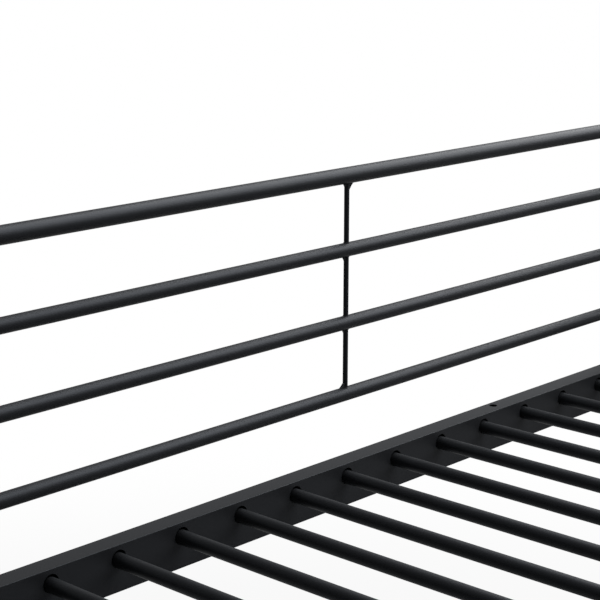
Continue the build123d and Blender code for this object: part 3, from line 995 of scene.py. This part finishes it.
class BUNKBED_OT_guards(bpy.types.Operator):
    """Make the back guard and the front guard with its bent leg"""

    bl_idname = "bunk_bed.guards"
    bl_label = "Guards"

    def execute(self, context):
        self.back_guard()
        self.front_guard()
        return {"FINISHED"}

    @staticmethod
    def end_plates(node):
        """A guard's bolted end plates."""
        return cad_solids(node, PLATE_SOFTENING, lambda size: size.x < 2 * GUARD_PLATE_THICKNESS
                          and size.z > GUARD_TOP - GUARD_LOW)

    def back_guard(self):
        meshes = [self.end_plates("back_guard")]
        meshes += level_tubes("upper", 0, BACK_Y, (2 * GUARD_WALL_X, 0, 0))
        meshes.append(weld_beads(tube_seams(
            "upper", [(-GUARD_WALL_X, BACK_Y), (GUARD_WALL_X, BACK_Y)], ALONG_X, ALONG_Y)))
        meshes += rods_and_welds(BACK_Y)
        finish_piece("back_guard_steel", meshes, COAT, ["back_guard"])

    def front_guard(self):
        sizes = bpy.context.scene.bunk_bed_sizes
        foot = (LEG_X, FRONT_Y, RAIL_TOPS["upper"] + LEG_PLATE_THICKNESS)
        meshes = [self.end_plates("front_guard"),
                  cad_solids("front_guard", PLATE_SOFTENING,
                             lambda size: size.z < 2 * LEG_PLATE_THICKNESS)]
        path = path_object("leg_path", [[(GUARD_WALL_X, FRONT_Y, guard_level("upper", TOP_LEVEL)),
                                         (LEG_X, FRONT_Y, guard_level("upper", TOP_LEVEL)),
                                         foot]], closed=False)
        meshes.append(grown(bent_bar_tree, {
            "Path": path, "Bend Radius": sizes.bend_radius, "Diameter": sizes.top_tube_diameter,
            "Sides": sizes.round_sides}))
        drop(path)
        start_x = LEG_X + TUBE_START
        meshes.append(bar_row(((start_x + GUARD_WALL_X) / 2, FRONT_Y, guard_level("upper", 0)),
                              (0, 0, GUARD_PITCH), TOP_LEVEL, (GUARD_WALL_X - start_x, 0, 0),
                              guard_diameter(0)))
        loops = tube_seams("upper", [(GUARD_WALL_X, FRONT_Y)], ALONG_X, ALONG_Y)
        loops.append(round_seam(foot, ALONG_Z, ALONG_X, sizes.top_tube_diameter / 2))
        loops += [round_seam((LEG_X, FRONT_Y, guard_level("upper", level)), ALONG_X, ALONG_Z,
                             guard_diameter(level) / 2, sizes.top_tube_diameter / 2)
                  for level in range(LEG_SEAMS)]
        meshes.append(weld_beads(loops))
        meshes += rods_and_welds(FRONT_Y)
        finish_piece("front_guard_steel", meshes, COAT, ["front_guard"])


class BUNKBED_OT_ladder(bpy.types.Operator):
    """Make the ladder's uprights and rungs"""

    bl_idname = "bunk_bed.ladder"
    bl_label = "Ladder"

    def execute(self, context):
        sizes = context.scene.bunk_bed_sizes
        low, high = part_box("ladder")
        y = (low.y + high.y) / 2
        inner_xs = (low.x + UPRIGHT_WIDTH, high.x - UPRIGHT_WIDTH)
        rise = RAIL_TOPS["upper"] / LADDER_RISES
        first = rise - sizes.rung_diameter / 2
        meshes = [
            cad_solids("ladder", TUBE_SOFTENING, lambda size: size.z > POST_LENGTH_MIN,
                       long_edges_only=True),
            bar_row((sum(inner_xs) / 2, y, first), (0, 0, rise), LADDER_RISES - 1,
                    (inner_xs[1] - inner_xs[0], 0, 0), sizes.rung_diameter),
            weld_beads([round_seam((x, y, first + index * rise), ALONG_X, ALONG_Y,
                                   sizes.rung_diameter / 2)
                        for x in inner_xs for index in range(LADDER_RISES - 1)])]
        finish_piece("ladder_steel", meshes, COAT, ["ladder"])
        return {"FINISHED"}


class BUNKBED_OT_ends(bpy.types.Operator):
    """Make the plastic feet and caps and the posts' joining collars"""

    bl_idname = "bunk_bed.ends"
    bl_label = "Feet, caps and collars"

    def execute(self, context):
        for node in ("post_feet", "post_caps", "ladder_feet", "ladder_caps"):
            finish_piece(f"{node}_moulded", [cad_solids(node, PLASTIC_SOFTENING)], PLASTIC,
                         [node])
        finish_piece("post_joiners_steel", [cad_solids("post_joiners", SHEET_SOFTENING)], COAT,
                     ["post_joiners"])
        return {"FINISHED"}


class BUNKBED_OT_fasteners(bpy.types.Operator):
    """Make the bolts, and give the hidden nuts their zinc"""

    bl_idname = "bunk_bed.fasteners"
    bl_label = "Bolts and nuts"

    def execute(self, context):
        heights = [guard_level("upper", 0.5), guard_level("upper", TOP_LEVEL - 0.5)]
        guard_places = [((side * GUARD_WALL_X, y, z), "+X" if side > 0 else "-X")
                        for side, y in ((-1, BACK_Y), (1, BACK_Y), (1, FRONT_Y))
                        for z in heights]
        ladder_places = [((x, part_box("ladder")[0].y, rail_top - RAIL_HEIGHT / 2), "+Y")
                         for x in UPRIGHT_XS for rail_top in RAIL_TOPS.values()]
        leg_place = ((LEG_HOLE_X, FRONT_Y - LEG_HOLE_OFFSET,
                      RAIL_TOPS["upper"] + LEG_PLATE_THICKNESS), "-Z")
        for node, diameter, length, places in (
                ("guard_bolts", SMALL_BOLT, GUARD_BOLT_LENGTH, guard_places),
                ("ladder_bolts", SMALL_BOLT, LADDER_BOLT_LENGTH, ladder_places),
                ("guard_leg_bolt", LEG_BOLT, LEG_BOLT_LENGTH, [leg_place])):
            places = [(place, FACING[way], UNIT) for place, way in places]
            bolts = copies(f"{node}_places", socket_bolt(diameter, length), places, BOLT_STEEL)
            finish_piece(f"{node}_steel", [bolts], BOLT_STEEL, [node])
        for node in ("guard_nuts", "guard_leg_nut", "ladder_nuts"):
            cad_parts[node].material_slots[0].material = finish_material(ZINC)
        return {"FINISHED"}


class BUNKBED_OT_stage(bpy.types.Operator):
    """Set up the floor, the lights and the camera"""

    bl_idname = "bunk_bed.stage"
    bl_label = "Stage"

    def execute(self, context):
        self.floor()
        self.world()
        self.lamps()
        self.camera()
        context.scene.view_settings.view_transform = "Standard"
        return {"FINISHED"}

    @staticmethod
    def seen_share(tree, camera_share, glossy_share):
        """How much of the white background a ray sees."""
        rays = add_node(tree, "ShaderNodeLightPath").outputs
        camera = calculated(tree, "MULTIPLY", rays["Is Camera Ray"], camera_share)
        mirrored = calculated(tree, "MAXIMUM", rays["Is Glossy Ray"], rays["Is Transmission Ray"])
        glossy = calculated(tree, "MULTIPLY", mirrored, glossy_share)
        return calculated(tree, "MAXIMUM", camera, glossy)

    def floor(self):
        stage = bpy.context.scene.bunk_bed_stage
        bm = bmesh.new()
        bmesh.ops.create_grid(bm, x_segments=1, y_segments=1, size=FLOOR_REACH)
        floor = holder(mesh_from("studio_floor", bm))
        material, tree, paper, place = new_material("Studio floor")
        feed(tree, paper, {"Base Color": stage.floor_colour, "Roughness": FLOOR_ROUGHNESS,
                           "Specular IOR Level": 0.0})
        white = add_node(tree, "ShaderNodeEmission", {"Color": (1, 1, 1, 1), "Strength": 1.0})
        # The floor keeps the bed's shadow, and turns to plain white away from it
        reach = add_node(tree, "ShaderNodeVectorMath", {0: place}, operation="LENGTH")
        share = add_node(tree, "ShaderNodeMapRange", {
            "Value": reach.outputs["Value"], "From Min": FLOOR_WHITE_FROM,
            "From Max": FLOOR_WHITE_TO, "To Min": FLOOR_CAMERA_SHARE, "To Max": 1.0},
            interpolation_type="SMOOTHSTEP")
        mixed = add_node(tree, "ShaderNodeMixShader", {
            0: self.seen_share(tree, share.outputs["Result"], FLOOR_GLOSSY_SHARE),
            1: paper.outputs[0], 2: white.outputs[0]})
        feed(tree, tree.nodes["Material Output"], {"Surface": mixed.outputs[0]})
        floor.data.materials.append(material)
        floor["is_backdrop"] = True

    def world(self):
        world = bpy.data.worlds.new("Studio")
        world.use_nodes = True
        tree = world.node_tree
        fill = tree.nodes["Background"]
        feed(tree, fill, {"Color": (FILL_LIGHT, FILL_LIGHT, FILL_LIGHT, 1)})
        white = add_node(tree, "ShaderNodeBackground", {"Color": (1, 1, 1, 1)})
        mixed = add_node(tree, "ShaderNodeMixShader", {
            0: self.seen_share(tree, 1.0, SKY_GLOSSY_SHARE), 1: fill.outputs[0],
            2: white.outputs[0]})
        feed(tree, tree.nodes["World Output"], {"Surface": mixed.outputs[0]})
        bpy.context.scene.world = world

    @staticmethod
    def lamps():
        target = Vector((0, 0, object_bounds()[1][2] / 2))
        for name, way, distance, size, power in SOFT_BOXES:
            light = bpy.data.lights.new(name, "AREA")
            light.shape = "SQUARE"
            light.size = size
            light.energy = power
            lamp = holder(light)
            lamp.location = target + Vector(way).normalized() * distance
            lamp.rotation_euler = Vector(way).to_track_quat("Z", "Y").to_euler()

    @staticmethod
    def camera():
        stage = bpy.context.scene.bunk_bed_stage
        lens = bpy.data.cameras.new("photo_camera")
        lens.sensor_width = SENSOR_WIDTH
        lens.lens = SENSOR_WIDTH * stage.focal_pixels / FRAME_PIXELS
        camera = holder(lens)
        place = Vector((stage.camera_x, BACK_Y - stage.camera_distance,
                        RAIL_TOPS["upper"] + stage.camera_rise))
        camera.matrix_world = (Matrix.Translation(place)
                               @ Matrix.Rotation(-stage.camera_yaw, 4, "Z")
                               @ Matrix.Rotation(QUARTER + stage.camera_pitch, 4, "X")
                               @ Matrix.Rotation(stage.camera_roll, 4, "Z"))
        bpy.context.scene.camera = camera


class BUNKBED_PT_panel(bpy.types.Panel):
    """Lists the bed's sizes, finishes and steps"""

    bl_label = "Bunk Bed"
    bl_idname = "BUNKBED_PT_panel"
    bl_space_type = "VIEW_3D"
    bl_region_type = "UI"
    bl_category = "Bunk Bed"

    def draw(self, context):
        for step in STEPS:
            self.layout.operator(step.bl_idname)
        for group in (context.scene.bunk_bed_sizes, context.scene.bunk_bed_finish,
                      context.scene.bunk_bed_stage):
            box = self.layout.box()
            for name in group.__annotations__:
                box.prop(group, name)


STEPS = (BUNKBED_OT_decks, BUNKBED_OT_side_rails, BUNKBED_OT_end_frames, BUNKBED_OT_guards,
         BUNKBED_OT_ladder, BUNKBED_OT_ends, BUNKBED_OT_fasteners, BUNKBED_OT_stage)
GROUPS = {"bunk_bed_sizes": BunkBedSizes, "bunk_bed_finish": BunkBedFinish,
          "bunk_bed_stage": BunkBedStage}


def register():
    for kind in (*GROUPS.values(), *STEPS, BUNKBED_PT_panel):
        bpy.utils.register_class(kind)
    for name, group in GROUPS.items():
        setattr(bpy.types.Scene, name, PointerProperty(type=group))


def unregister():
    for name in GROUPS:
        delattr(bpy.types.Scene, name)
    for kind in (BUNKBED_PT_panel, *reversed(STEPS), *reversed(GROUPS.values())):
        bpy.utils.unregister_class(kind)


def main():
    register()
    for step in STEPS:
        group, name = step.bl_idname.split(".")
        getattr(getattr(bpy.ops, group), name)()


if __name__ == "__main__":
    main()
